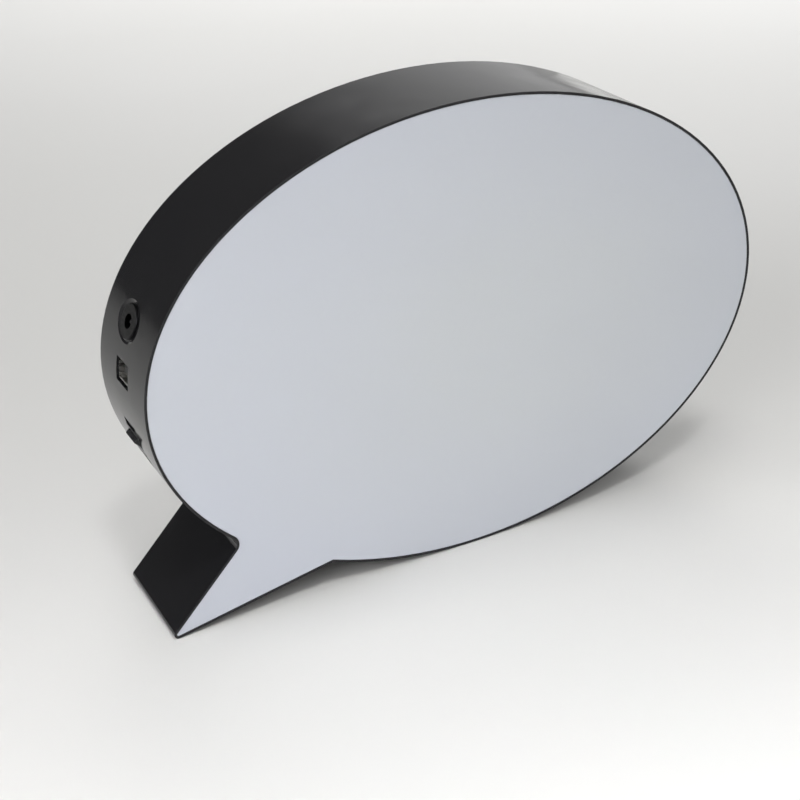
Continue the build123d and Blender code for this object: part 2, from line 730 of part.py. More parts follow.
# Jumper wires that run straight from the edge of one strip to the next, midway between collar and hood
link_place = (collar_half_length + keyhole_spacing / 2 - hood_room - hood_wall) / 2
with BuildPart() as strip_links:
    for side, low, high in link_side_shares:
        start = strip_heights[low] + strip_width / 2
        with BuildSketch(Plane.XY.offset(start)):
            with Locations((side * link_place, sheet_front - lead_radius)):
                with GridLocations(link_pitch, 0, 2, 1):
                    RegularPolygon(lead_radius, side_count=lead_sides)
        extrude(amount=strip_heights[high] - strip_width / 2 - start)
strip_links.part.label = "strip_links"
export_step(strip_links.part, "parts/strip_links.step")

# Power jack: flanged threaded body with a deep bore, centre pin, nut and solder tabs
jack_face = jack_flange_thickness - jack_seat_depth
jack_back = -jack_seat_depth - jack_barrel_length - jack_block_length
with BuildPart() as jack_body:
    with BuildSketch(jack_plane.offset(-jack_seat_depth)):
        Circle(jack_flange_radius)
    extrude(amount=jack_flange_thickness)
    flange_edge = jack_body.edges().filter_by(GeomType.CIRCLE).sort_by_distance(
        jack_plane.from_local_coords((jack_flange_radius, 0, jack_face)))[0]
    chamfer(flange_edge, jack_flange_chamfer)
    with BuildSketch(jack_plane.offset(-jack_seat_depth)):
        Circle(jack_barrel_radius)
    extrude(amount=-jack_barrel_length)
    with BuildSketch(jack_plane.offset(-jack_seat_depth - jack_barrel_length)):
        Circle(jack_block_radius)
    extrude(amount=-jack_block_length)
    with BuildSketch(jack_plane.offset(jack_face)):
        Circle(jack_bore_radius)
    extrude(amount=-jack_bore_depth, mode=Mode.SUBTRACT)
jack_body.part.label = "jack_body"
export_step(jack_body.part, "parts/jack_body.step")

with BuildPart() as jack_pin:
    with BuildSketch(jack_plane.offset(jack_face - jack_bore_depth)):
        Circle(jack_pin_radius)
    extrude(amount=jack_bore_depth - jack_pin_recess)
    pin_tip = jack_pin.edges().filter_by(GeomType.CIRCLE).sort_by_distance(
        jack_plane.from_local_coords((jack_pin_radius, 0, jack_face)))[0]
    chamfer(pin_tip, jack_pin_chamfer)
jack_pin.part.label = "jack_pin"
export_step(jack_pin.part, "parts/jack_pin.step")

with BuildPart() as jack_nut:
    with BuildSketch(jack_plane.offset(-jack_seat_depth - seat_thickness)):
        RegularPolygon(jack_nut_flats / 2, side_count=6, major_radius=False)
        Circle(jack_barrel_radius + jack_nut_clearance, mode=Mode.SUBTRACT)
    extrude(amount=-jack_nut_thickness)
jack_nut.part.label = "jack_nut"
export_step(jack_nut.part, "parts/jack_nut.step")

with BuildPart() as jack_tabs:
    with BuildSketch(jack_plane.offset(jack_back)):
        with GridLocations(jack_tab_spacing, 0, 2, 1):
            Rectangle(jack_tab_thickness, jack_tab_width)
    extrude(amount=-jack_tab_length)
jack_tabs.part.label = "jack_tabs"
export_step(jack_tabs.part, "parts/jack_tabs.step")

# Control board on its shelf, with two screws, a driver chip and a capacitor
part_row = board_start + part_depth
with BuildPart() as control_board:
    with BuildSketch(board_plane):
        with Locations((0, board_start)):
            Rectangle(board_width, board_length, align=(Align.CENTER, Align.MIN))
        with Locations(*board_screw_places):
            Circle(board_hole_radius, mode=Mode.SUBTRACT)
    extrude(amount=board_thickness)
control_board.part.label = "control_board"
export_step(control_board.part, "parts/control_board.step")

board_top = board_plane.offset(board_thickness)
with BuildPart() as board_screws:
    with BuildSketch(board_top):
        with Locations(*board_screw_places):
            Circle(board_screw_head_radius)
    extrude(amount=board_screw_head_height)
    with BuildSketch(board_top):
        with Locations(*board_screw_places):
            Circle(board_screw_radius)
    extrude(amount=-board_screw_length)
    with BuildSketch(board_top.offset(board_screw_head_height)):
        with Locations(*board_screw_places):
            Rectangle(board_screw_head_radius, screw_recess_width)
            Rectangle(screw_recess_width, board_screw_head_radius)
    extrude(amount=-screw_recess_depth, mode=Mode.SUBTRACT)
board_screws.part.label = "board_screws"
export_step(board_screws.part, "parts/board_screws.step")

with BuildPart() as driver_chip:
    with BuildSketch(board_top):
        with Locations((part_side, part_row)):
            Rectangle(chip_width, chip_length)
    extrude(amount=chip_height)
    with BuildSketch(board_top):
        with Locations((part_side, part_row)):
            with GridLocations(0, chip_leg_pitch, 1, chip_leg_count):
                Rectangle(chip_width + 2 * chip_leg_reach, chip_leg_width)
    extrude(amount=chip_leg_thickness)
    with BuildSketch(board_top):
        with Locations((part_side, part_row)):
            with GridLocations(0, chip_leg_pitch, 1, chip_leg_count):
                Rectangle(chip_width + chip_leg_reach, chip_leg_width)
    extrude(amount=chip_height / 2)
driver_chip.part.label = "driver_chip"
export_step(driver_chip.part, "parts/driver_chip.step")

with BuildPart() as board_capacitor:
    with BuildSketch(board_top):
        with Locations((-part_side, part_row)):
            Circle(capacitor_radius)
    extrude(amount=capacitor_height)
    can_top = board_capacitor.faces().sort_by(Axis(board_top.origin, board_top.z_dir))[-1]
    chamfer(can_top.edges(), capacitor_chamfer)
board_capacitor.part.label = "board_capacitor"
export_step(board_capacitor.part, "parts/board_capacitor.step")


# Square socket on the board: metal shell, moulded insert with its tongue, and four contacts
def socket_outline(inset):
    """The socket's outline with its upper corners cut off, shrunk all round by inset."""
    with BuildSketch(mode=Mode.PRIVATE) as outline:
        Rectangle(socket_width, socket_height)
        chamfer(outline.vertices().group_by(Axis.Y)[-1], socket_corner)
        offset(amount=-inset, kind=Kind.INTERSECTION)
    return outline.sketch


socket_floor = -socket_recess - socket_floor_depth
with BuildPart() as socket_shell:
    with BuildSketch(socket_plane.offset(-socket_recess)):
        add(socket_outline(0))
        add(socket_outline(socket_shell_thickness), mode=Mode.SUBTRACT)
    extrude(amount=-socket_length)
socket_shell.part.label = "socket_shell"
export_step(socket_shell.part, "parts/socket_shell.step")

with BuildPart() as socket_insert:
    with BuildSketch(socket_plane.offset(socket_floor)):
        add(socket_outline(socket_shell_thickness + socket_insert_clearance))
    extrude(amount=socket_floor_depth - socket_length)
    with BuildSketch(socket_plane.offset(socket_floor)):
        Rectangle(socket_tongue_width, socket_tongue_height)
    extrude(amount=socket_floor_depth - socket_tongue_recess)
socket_insert.part.label = "socket_insert"
export_step(socket_insert.part, "parts/socket_insert.step")

with BuildPart() as socket_contacts:
    with BuildSketch(socket_plane.offset(socket_floor)):
        with GridLocations(contact_pitch, socket_tongue_height + contact_thickness, 2, 2):
            Rectangle(contact_width, contact_thickness)
    extrude(amount=contact_length)
socket_contacts.part.label = "socket_contacts"
export_step(socket_contacts.part, "parts/socket_contacts.step")

# Rocker switch: snap-in case, blade terminals and the rocker on its pivot
# In the tilt plane x runs up the wall, y runs outwards and z is the pivot's line.
tilt_plane = Plane(rocker_plane.from_local_coords((0, 0, -pivot_depth)),
                   x_dir=rocker_plane.y_dir, z_dir=rocker_plane.x_dir)
ear_height = pivot_depth - rocker_seat_depth - seat_thickness
with BuildPart() as switch_case:
    with BuildSketch(rocker_plane.offset(-rocker_seat_depth)):
        Rectangle(bezel_width, bezel_length)
    extrude(amount=bezel_thickness)
    bezel_face = switch_case.faces().sort_by(Axis(rocker_plane.origin, rocker_plane.z_dir))[-1]
    fillet(bezel_face.edges(), bezel_round)
    with BuildSketch(rocker_plane.offset(-rocker_seat_depth)):
        Rectangle(case_width, case_length)
    extrude(amount=rocker_seat_depth - case_reach)
    # Snap ears that hold the case behind the pad
    for side in (-1, 1):
        with BuildSketch(tilt_plane.offset(-ear_length / 2)):
            Polygon((side * case_length / 2, ear_height), (side * (case_length / 2 + ear_width), ear_height),
                    (side * case_length / 2, ear_height - ear_drop), align=None)
        extrude(amount=ear_length)
    with BuildSketch(rocker_plane.offset(bezel_thickness)):
        Rectangle(well_width, well_length)
    extrude(amount=-bezel_thickness - well_depth, mode=Mode.SUBTRACT)
    with BuildSketch(tilt_plane):
        Circle(pivot_radius + pivot_clearance)
    extrude(amount=rocker_width / 2 + pivot_length + pivot_clearance, both=True, mode=Mode.SUBTRACT)
switch_case.part.label = "switch_case"
export_step(switch_case.part, "parts/switch_case.step")

with BuildPart() as switch_terminals:
    with BuildSketch(rocker_plane.offset(-case_reach)):
        with GridLocations(0, terminal_spacing, 1, 2):
            Rectangle(terminal_width, terminal_thickness)
    extrude(amount=-terminal_length)
switch_terminals.part.label = "switch_terminals"
export_step(switch_terminals.part, "parts/switch_terminals.step")

rocker_turn = Plane(tilt_plane.location * Location((0, 0, 0), (0, 0, rocker_tilt)))
end_turn = degrees(asin(rocker_end_height / rocker_end_radius))
foot_turn = degrees(asin(rocker_foot_height / rocker_end_radius))
with BuildPart() as switch_rocker:
    with BuildSketch(rocker_turn.offset(-rocker_width / 2)):
        with BuildLine():
            upper_end = CenterArc((0, 0), rocker_end_radius, foot_turn, end_turn - foot_turn)
            lower_end = CenterArc((0, 0), rocker_end_radius, 180 - end_turn, end_turn - foot_turn)
            ThreePointArc(upper_end @ 1, (0, rocker_middle_height), lower_end @ 0)
            Polyline(lower_end @ 1, (-rocker_hub_half_width, rocker_foot_height),
                     (-rocker_hub_tip_half_width, -rocker_hub_drop),
                     (rocker_hub_tip_half_width, -rocker_hub_drop),
                     (rocker_hub_half_width, rocker_foot_height), upper_end @ 0)
        make_face()
    extrude(amount=rocker_width)
    finger_face = switch_rocker.faces().sort_by_distance(
        rocker_turn.from_local_coords((0, rocker_middle_height, 0)))[0]
    chamfer(finger_face.edges(), rocker_edge_chamfer)
    with BuildSketch(rocker_turn):
        Circle(pivot_radius)
    extrude(amount=rocker_width / 2 + pivot_length, both=True)
switch_rocker.part.label = "switch_rocker"
export_step(switch_rocker.part, "parts/switch_rocker.step")


# Insulated leads, soldered to the board's pads near its inner edge
def lead(*points):
    """Lead through these points, each bend as wide as the shorter run beside it allows."""
    stops = [Vector(*point) for point in points]
    radii = []
    for before, corner, after in zip(stops, stops[1:], stops[2:]):
        turn = radians((corner - before).get_angle(after - corner))
        shorter = min((corner - before).length, (after - corner).length)
        radii.append(lead_bend_share * shorter / tan(turn / 2))
    with BuildPart() as tube:
        with BuildLine():
            route = FilletPolyline(*stops, radius=radii)
        with BuildSketch(Plane(route @ 0, z_dir=route % 0)) as section:
            RegularPolygon(lead_radius, side_count=lead_sides)
        sweep()
    print("lead bends", [round(radius, 1) for radius in radii], "length", round(route.length, 1),
          "volume share", round(tube.part.volume / (route.length * section.sketch.area), 3))
    return tube.part


def pad_point(side, inset, height):
    """Point above (or below) the board: side to the front, inset from its inner edge."""
    return board_plane.from_local_coords((side, board_end - inset, height))


def hung_lead(start, bend, turn, pad, *rises):
    """Lead from start to a pad: straight to bend, then through points lifted off the line to turn."""
    line = Vector(*turn) - Vector(*bend)
    middles = [Vector(*bend) + line * share + Vector(0, 0, rise) for share, rise in rises]
    return lead(start, bend, *middles, turn, pad)


jack_tab_end = jack_back - jack_tab_length
with BuildPart() as jack_leads:
    for side in (-jack_tab_spacing / 2, jack_tab_spacing / 2):
        add(lead(jack_plane.from_local_coords((side, 0, jack_tab_end)),
                 jack_plane.from_local_coords((side, 0, jack_tab_end - lead_first_run)),
                 pad_point(side, lead_pad_inset, board_thickness + lead_last_run),
                 pad_point(side, lead_pad_inset, board_thickness)))
jack_leads.part.label = "jack_leads"
export_step(jack_leads.part, "parts/jack_leads.step")

terminal_end = -case_reach - terminal_length
with BuildPart() as switch_leads:
    for side, inset, run in ((-1, lead_pad_inset, lead_first_run),
                             (1, lead_pad_inset + lead_pad_pitch, short_lead_run)):
        add(lead(rocker_plane.from_local_coords((0, side * terminal_spacing / 2, terminal_end)),
                 rocker_plane.from_local_coords((0, side * terminal_spacing / 2, terminal_end - run)),
                 pad_point(0, inset, -run),
                 pad_point(0, inset, 0)))
switch_leads.part.label = "switch_leads"
export_step(switch_leads.part, "parts/switch_leads.step")

tab_end = -bay_length / 2 - plate_thickness - bay_wall - tail_tab_reach
tab_depth = plate_front + plate_thickness / 2
battery_side = -jack_tab_spacing / 2 - battery_pad_gap
with BuildPart() as battery_leads:
    # Each middle point: how far along, in shares, and its rise
    for height, face, rises in ((row_heights[-1], board_thickness, ((0.35, -1.5), (0.7, 0.6))),
                                (row_heights[0], 0, ((0.37, -6.1), (0.73, -5.8)))):
        run = lead_last_run if face else -lead_last_run
        add(hung_lead((tab_end, tab_depth, height), (tab_end - tab_lead_run, tab_depth, height),
                      pad_point(battery_side, lead_pad_inset, face + run),
                      pad_point(battery_side, lead_pad_inset, face), *rises))
battery_leads.part.label = "battery_leads"
export_step(battery_leads.part, "parts/battery_leads.step")

strip_side = battery_side - lead_pad_gap
strip_end = left_end + strip_lead_inset
with BuildPart() as strip_leads:
    for side, inset, run, rises in ((1, lead_pad_inset + lead_pad_pitch, lead_long_run, ((0.36, 4.6), (0.66, 6.2))),
                                    (-1, lead_pad_inset, strip_lead_run, ((0.36, 2.4), (0.54, 4.6)))):
        height = strip_heights["led_strip_left"] + side * link_pitch / 2
        add(hung_lead((strip_end, strip_front, height), (strip_end, strip_front - strip_lead_run, height),
                      pad_point(strip_side, inset, board_thickness + run),
                      pad_point(strip_side, inset, board_thickness), *rises))
strip_leads.part.label = "strip_leads"
export_step(strip_leads.part, "parts/strip_leads.step")
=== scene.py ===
# %% [markdown]
# # A speech bubble light box
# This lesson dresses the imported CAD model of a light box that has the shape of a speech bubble: a satin black band,
# an opal sheet to write on, and a round jack, a socket and a rocker switch on its left wall.
# The CAD model is the fixed frame. It is in metres, with the box standing on z = 0, its length along x and its
# front towards -y.

# %% Load the frame and keep its size
from math import radians

import bmesh
import bpy
from mathutils import Matrix, Vector


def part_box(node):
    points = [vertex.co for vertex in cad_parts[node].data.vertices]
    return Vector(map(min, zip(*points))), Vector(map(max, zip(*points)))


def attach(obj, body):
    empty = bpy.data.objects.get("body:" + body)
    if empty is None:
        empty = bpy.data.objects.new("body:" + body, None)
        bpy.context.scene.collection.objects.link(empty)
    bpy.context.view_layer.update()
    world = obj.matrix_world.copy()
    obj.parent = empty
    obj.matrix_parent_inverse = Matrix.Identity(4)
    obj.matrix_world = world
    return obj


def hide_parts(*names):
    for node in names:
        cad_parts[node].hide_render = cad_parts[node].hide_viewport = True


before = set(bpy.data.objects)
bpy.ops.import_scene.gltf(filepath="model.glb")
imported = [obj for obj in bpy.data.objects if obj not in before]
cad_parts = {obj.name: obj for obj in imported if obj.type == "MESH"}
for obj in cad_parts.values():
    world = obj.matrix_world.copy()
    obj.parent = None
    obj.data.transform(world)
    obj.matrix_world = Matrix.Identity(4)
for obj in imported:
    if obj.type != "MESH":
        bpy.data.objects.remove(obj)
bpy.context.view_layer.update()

# %% [markdown]
# The photograph was taken from the front left and from above, with a lens of moderate length, so near and far
# edges of the oval differ a little in size. The angles were fitted to the outline of the box. The camera can be
# turned with three rotations, first the small roll, then the lift, then the turn round the upright.
# One matrix that multiplies the three says this in one line and leaves nothing for the reader to guess.

# %% Camera
camera_lens = 65.51
camera_place = (-0.29855, -0.49978, 0.38216)
camera_turn, camera_lift, camera_roll = radians(28.774), radians(28.75), radians(0.521)

camera = bpy.data.objects.new("studio_camera", bpy.data.cameras.new("studio_camera"))
camera.data.lens = camera_lens
camera.matrix_world = (Matrix.Translation(camera_place) @ Matrix.Rotation(-camera_turn, 4, "Z")
                       @ Matrix.Rotation(radians(90) - camera_lift, 4, "X") @ Matrix.Rotation(-camera_roll, 4, "Z"))
bpy.context.scene.collection.objects.link(camera)
bpy.context.scene.camera = camera
print("camera at", [round(v, 3) for v in camera_place])

# %% [markdown]
# A finish is a tree of shader nodes: noises in the object's own coordinates drive its colour, its roughness and a
# shallow bump. Wiring them by hand takes the same few moves each time, so each move gets a small helper. A value
# that is the same all over is set on the shader itself, because the exported model loses it otherwise.

# %% Helpers for finishes made of nodes
def start_finish(name, colour, roughness, **sockets):
    finish = bpy.data.materials.new(name)
    finish.use_nodes = True
    shader = finish.node_tree.nodes["Principled BSDF"]
    shader.inputs["Base Color"].default_value = (*colour, 1)
    shader.inputs["Roughness"].default_value = roughness
    for socket, value in sockets.items():
        shader.inputs[socket.replace("_", " ")].default_value = value
    return finish


def add_node(finish, kind, **values):
    node = finish.node_tree.nodes.new("ShaderNode" + kind)
    for name, value in values.items():
        if name in node.inputs:
            node.inputs[name].default_value = value
        else:
            setattr(node, name, value)
    return node


def join(finish, output, target):
    finish.node_tree.links.new(output, target)


def shader_of(finish):
    return finish.node_tree.nodes["Principled BSDF"]


def placed(finish, stretch=(1, 1, 1), centre=(0, 0, 0)):
    coordinates = add_node(finish, "TexCoord")
    mapping = add_node(finish, "Mapping", Location=[-s * c for s, c in zip(stretch, centre)], Scale=stretch)
    join(finish, coordinates.outputs["Object"], mapping.inputs["Vector"])
    return mapping.outputs["Vector"]


def grain(finish, scale, detail=2, stretch=(1, 1, 1), centre=(0, 0, 0)):
    noise = add_node(finish, "TexNoise", Scale=scale, Detail=detail)
    join(finish, placed(finish, stretch, centre), noise.inputs["Vector"])
    return noise.outputs["Fac"]


def spread(finish, value, low, high, start=0.3, end=0.7):
    steps = add_node(finish, "MapRange", interpolation_type="SMOOTHSTEP")
    for name, number in (("From Min", start), ("From Max", end), ("To Min", low), ("To Max", high)):
        steps.inputs[name].default_value = number
    join(finish, value, steps.inputs["Value"])
    return steps.outputs["Result"]


def colour_between(finish, value, first, second, start=0.35, end=0.65):
    ramp = add_node(finish, "ValToRGB")
    ramp.color_ramp.elements[0].position, ramp.color_ramp.elements[1].position = start, end
    ramp.color_ramp.elements[0].color, ramp.color_ramp.elements[1].color = (*first, 1), (*second, 1)
    join(finish, value, ramp.inputs["Fac"])
    return ramp.outputs["Color"]


def mix_colours(finish, value, first, second):
    mixer = add_node(finish, "Mix", data_type="RGBA")
    join(finish, value, mixer.inputs[0])
    join(finish, first, mixer.inputs[6])
    if isinstance(second, tuple):
        mixer.inputs[7].default_value = (*second, 1)
    else:
        join(finish, second, mixer.inputs[7])
    return mixer.outputs[2]


def combine(finish, operation, first, second):
    maths = add_node(finish, "Math", operation=operation)
    for place, value in enumerate((first, second)):
        if isinstance(value, (int, float)):
            maths.inputs[place].default_value = value
        else:
            join(finish, value, maths.inputs[place])
    return maths.outputs["Value"]


def raise_surface(finish, height, depth, strength=1.0):
    bump = add_node(finish, "Bump", Distance=depth, Strength=strength)
    join(finish, height, bump.inputs["Height"])
    join(finish, bump.outputs["Normal"], shader_of(finish).inputs["Normal"])


def colour_it(finish, colour):
    join(finish, colour, shader_of(finish).inputs["Base Color"])


def roughen(finish, value):
    join(finish, value, shader_of(finish).inputs["Roughness"])


finishes = {}
print("helpers ready")

# %% [markdown]
# The box stands on a sheet of white paper that fills the whole picture. A large plane does it. It isn't part of
# the object. Its colour varies a little, as paper does under a soft lamp.

# %% Paper floor
paper = start_finish("paper_floor", (0.62, 0.617, 0.604), 0.75)
colour_it(paper, colour_between(paper, grain(paper, 1.5), (0.61, 0.607, 0.593), (0.63, 0.627, 0.616)))
raise_surface(paper, grain(paper, 900, 3), 0.00005, 0.3)

bpy.ops.object.select_all(action="DESELECT")
bpy.ops.mesh.primitive_plane_add(size=12, location=(0, 2, 0))
floor = bpy.context.object
floor.name = "paper_floor"
floor.data.materials.append(paper)
print("floor", floor.dimensions[:])

# %% [markdown]
# The light in the photograph is soft and white, but the black wall tells more about the room than the paper does.
# Its upper left is deep black, so the room behind it there is dim, and its top right is light grey, so something
# bright stands behind on the right. The world is dim with soft glows: three to the front and the sides, which the
# wall doesn't mirror, and two to the back right, which it does. Each glow is the dot product of the view direction
# with its own, eased in from nothing to full.

# %% Room
room = bpy.data.worlds.new("dim_room")
bpy.context.scene.world = room
room.use_nodes = True
sky, wires = room.node_tree.nodes, room.node_tree.links


def glow(direction, start, end, tone):
    where = sky.new("ShaderNodeTexCoord")
    towards = sky.new("ShaderNodeVectorMath")
    towards.operation = "DOT_PRODUCT"
    towards.inputs[1].default_value = Vector(direction).normalized()
    ease = sky.new("ShaderNodeMapRange")
    ease.interpolation_type = "SMOOTHSTEP"
    for name, number in (("From Min", start), ("From Max", end), ("To Max", tone)):
        ease.inputs[name].default_value = number
    wires.new(where.outputs["Generated"], towards.inputs[0])
    wires.new(towards.outputs["Value"], ease.inputs["Value"])
    return ease.outputs["Result"]


light = glow((-0.2, -1, 0.1), -0.2, 0.7, 0.45)
for sides in (((1, -0.25, 0.05), 0.3, 0.95, 0.4), ((-1, -0.35, 0.05), 0.3, 0.95, 0.35),
              ((0.56, 0.79, 0.22), 0.8, 1, 0.39), ((0.62, 0.78, 0.1), 0.86, 1, 0.26)):
    added = sky.new("ShaderNodeMath")
    wires.new(light, added.inputs[0])
    wires.new(glow(*sides), added.inputs[1])
    light = added.outputs["Value"]
even = sky.new("ShaderNodeMath")
even.inputs[1].default_value = 0.08
wires.new(light, even.inputs[0])
wires.new(even.outputs["Value"], sky["Background"].inputs["Color"])

# %% [markdown]
# The lamps hang high or in front, where no wall of the box mirrors them. One overhead and one near at the left give
# the paper and the panel their even tone. The others brighten the paper in front, at the back and beside the tail,
# because in the photograph it is darkest in a band level with the box. An area light's spread makes a pool.

# %% Lamps
def soft_lamp(name, place, aim, size, power, spread=180):
    lamp = bpy.data.lights.new(name, "AREA")
    lamp.shape, lamp.size, lamp.energy, lamp.spread = "DISK", size, power, radians(spread)
    holder = bpy.data.objects.new(name, lamp)
    bpy.context.scene.collection.objects.link(holder)
    holder.matrix_world = (Matrix.Translation(place)
                           @ (Vector(aim) - Vector(place)).to_track_quat("-Z", "Y").to_matrix().to_4x4())


soft_lamp("overhead_lamp", (-0.15, 0, 2.2), (-0.1, 0, 0), 0.9, 9.2)
soft_lamp("left_lamp", (-1.1, -0.7, 0.9), (-0.2, 0, 0.05), 0.7, 5.4)
soft_lamp("backdrop_lamp", (0.6, 1.5, 1.8), (0.5, 0.8, 0), 1.0, 13.2)
soft_lamp("right_lamp", (1.5, 1.3, 2.2), (1.3, 1.2, 0), 1.2, 10.6, 80)
soft_lamp("back_pool", (0.3, 1.9, 2.0), (0.3, 1.6, 0), 0.4, 1.3, 50)
soft_lamp("front_pool", (-0.25, -0.9, 1.9), (-0.2, -0.6, 0), 0.4, 3.6, 40)
soft_lamp("left_pool", (-0.5, 0.3, 1.9), (-0.16, 0.1, 0), 0.3, 0.08, 26)
bpy.context.scene.view_settings.view_transform = "Standard"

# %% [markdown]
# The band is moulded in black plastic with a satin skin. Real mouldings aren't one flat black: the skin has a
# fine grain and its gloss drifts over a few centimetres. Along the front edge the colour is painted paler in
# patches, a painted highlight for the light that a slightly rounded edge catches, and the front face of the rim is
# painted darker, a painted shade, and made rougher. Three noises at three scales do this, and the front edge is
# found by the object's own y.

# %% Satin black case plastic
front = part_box("side_frame")[0].y

case_plastic = start_finish("case_plastic", (0.01, 0.01, 0.011), 0.3, IOR=1.5)
drift = grain(case_plastic, 9, 3)
skin = colour_between(case_plastic, drift, (0.008, 0.008, 0.0095), (0.012, 0.0117, 0.0125))
axes = add_node(case_plastic, "SeparateXYZ")
join(case_plastic, placed(case_plastic), axes.inputs["Vector"])
# Painted highlight: the colour is made paler in patches within about a millimetre of the front edge.
edge = spread(case_plastic, axes.outputs["Y"], 1, 0, front + 0.0002, front + 0.0012)
highlight_patches = spread(case_plastic, grain(case_plastic, 160, 4), 0, 1, 0.56, 0.75)
edge_highlight = combine(case_plastic, "MULTIPLY", edge, highlight_patches)
# Painted shade: the rim's front face is darkened to near black, and the same mask makes it rougher.
rim = spread(case_plastic, axes.outputs["Y"], 1, 0, front + 0.00002, front + 0.0001)
body = mix_colours(case_plastic, edge_highlight, skin, (0.03, 0.029, 0.03))
colour_it(case_plastic, mix_colours(case_plastic, rim, body, (0.004, 0.0035, 0.005)))
gloss = spread(case_plastic, grain(case_plastic, 45, 4), 0.12, 0.18)
roughen(case_plastic, combine(case_plastic, "ADD", gloss, combine(case_plastic, "MULTIPLY", rim, 0.5)))
raise_surface(case_plastic, grain(case_plastic, 1800, 2), 0.00001, 0.3)
finishes["case_plastic"] = case_plastic

# %% [markdown]
# The writing panel is a smooth opal sheet, milky all through. Its colour is painted a touch bluer near its edge
# and greyer in the middle, a painted shading that copies how the lit sheet looks. Cleaning leaves faint wiped
# streaks.
# The tone follows the distance from the oval's middle, which one Mapping node squeezes to a circle of radius one.

# %% Opal writing panel
oval_low, oval_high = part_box("writing_panel")
oval_middle = (0, 0, oval_high.z - 0.1035)

panel_opal = start_finish("panel_opal", (0.6, 0.63, 0.68), 0.28, IOR=1.49)
reach = add_node(panel_opal, "VectorMath", operation="LENGTH")
join(panel_opal, placed(panel_opal, (1 / 0.17, 0, 1 / 0.12), (0.03, 0, oval_middle[2])), reach.inputs["Vector"])
# Painted shading: the colour turns from grey in the middle to bluer at the edge.
painted_edge_shading = colour_between(panel_opal, reach.outputs["Value"], (0.545, 0.568, 0.591), (0.537, 0.561, 0.626), 0.3, 1.0)
wipes = spread(panel_opal, grain(panel_opal, 6, 1, (1, 1, 2)), 0, 0.5, 0.3, 0.75)
colour_it(panel_opal, mix_colours(panel_opal, wipes, painted_edge_shading, (0.53, 0.553, 0.588)))
roughen(panel_opal, spread(panel_opal, grain(panel_opal, 12, 1, (1, 1, 2)), 0.28, 0.32))
raise_surface(panel_opal, grain(panel_opal, 900, 1), 0.000004, 0.1)
finishes["panel_opal"] = panel_opal

# %% [markdown]
# A rocker is pressed thousands of times, so its plastic is made a little glossier than the case, and the socket's
# insert is a dull, glass-filled plastic. Both are blacks, and the eye tells them apart by roughness alone. That is
# why each gets its own noise for roughness as well as for colour.

# %% Glossier black of the switch and the matte insert
switch_plastic = start_finish("switch_plastic", (0.014, 0.014, 0.016), 0.26, IOR=1.5)
roughen(switch_plastic, spread(switch_plastic, grain(switch_plastic, 180, 3), 0.2, 0.34))
colour_it(switch_plastic, colour_between(switch_plastic, grain(switch_plastic, 90),
                                         (0.012, 0.012, 0.014), (0.02, 0.02, 0.022)))
raise_surface(switch_plastic, grain(switch_plastic, 1500), 0.000004, 0.2)
finishes["switch_plastic"] = switch_plastic

insert_plastic = start_finish("insert_plastic", (0.03, 0.03, 0.03), 0.55)
colour_it(insert_plastic, colour_between(insert_plastic, grain(insert_plastic, 400),
                                         (0.022, 0.022, 0.022), (0.04, 0.04, 0.04)))
raise_surface(insert_plastic, grain(insert_plastic, 2600), 0.00003, 0.3)
finishes["insert_plastic"] = insert_plastic
print("blacks", [name for name in finishes if "plastic" in name])

# %% [markdown]
# Nickel, brass and steel differ in colour, but all are drawn or stamped, so fine strokes run along them. One
# function makes them all: a noise that is squeezed along z gives the strokes, which drive roughness and bump.

# %% Plated metals
def plated(name, first, second, scratches, low, high):
    finish = start_finish(name, first, low, Metallic=1.0)
    strokes = grain(finish, 220, 4, (1, 1, scratches))
    colour_it(finish, colour_between(finish, grain(finish, 120, 3), first, second))
    roughen(finish, spread(finish, strokes, low, high))
    raise_surface(finish, strokes, 0.00002, 0.25)
    finishes[name] = finish
    return finish


plated("metal_nickel", (0.66, 0.65, 0.62), (0.78, 0.77, 0.75), 9, 0.18, 0.4)
plated("metal_dark", (0.045, 0.045, 0.05), (0.09, 0.09, 0.095), 4, 0.3, 0.5)
plated("jack_black", (0.012, 0.012, 0.013), (0.018, 0.018, 0.019), 4, 0.28, 0.4)
plated("contact_brass", (0.72, 0.53, 0.24), (0.85, 0.67, 0.36), 5, 0.2, 0.38)
plated("screw_steel", (0.46, 0.46, 0.48), (0.62, 0.62, 0.63), 3, 0.25, 0.45)
print("metals", [name for name, finish in finishes.items() if shader_of(finish).inputs["Metallic"].default_value])

# %% [markdown]
# The board, the strips and the leads inside are all moulded or coated, each with its own colour and grain. They
# show only when the battery door is open or the model is taken apart, but a lesson finishes them all the same.

# %% Electronics and wires
def moulded(name, first, second, roughness, scale, depth=0.00002):
    finish = start_finish(name, first, roughness)
    colour_it(finish, colour_between(finish, grain(finish, scale, 4), first, second))
    roughen(finish, spread(finish, grain(finish, scale * 2, 3), roughness - 0.06, roughness + 0.08))
    raise_surface(finish, grain(finish, scale * 9, 2), depth, 0.3)
    finishes[name] = finish
    return finish


moulded("board_green", (0.02, 0.12, 0.05), (0.04, 0.19, 0.08), 0.38, 200)
moulded("chip_black", (0.016, 0.016, 0.016), (0.028, 0.028, 0.028), 0.55, 500)
moulded("capacitor_sleeve", (0.035, 0.045, 0.1), (0.055, 0.065, 0.14), 0.3, 150)
moulded("sheet_white", (0.84, 0.84, 0.83), (0.91, 0.91, 0.9), 0.6, 30)
moulded("strip_white", (0.78, 0.78, 0.75), (0.87, 0.87, 0.84), 0.45, 120)
moulded("lamp_yellow", (0.82, 0.62, 0.16), (0.93, 0.76, 0.3), 0.3, 500)
moulded("lead_red", (0.4, 0.025, 0.02), (0.52, 0.04, 0.035), 0.35, 150)
moulded("lead_black", (0.016, 0.016, 0.016), (0.026, 0.026, 0.026), 0.35, 150)
moulded("lead_white", (0.74, 0.74, 0.71), (0.83, 0.83, 0.8), 0.35, 150)
print("finishes", len(finishes))
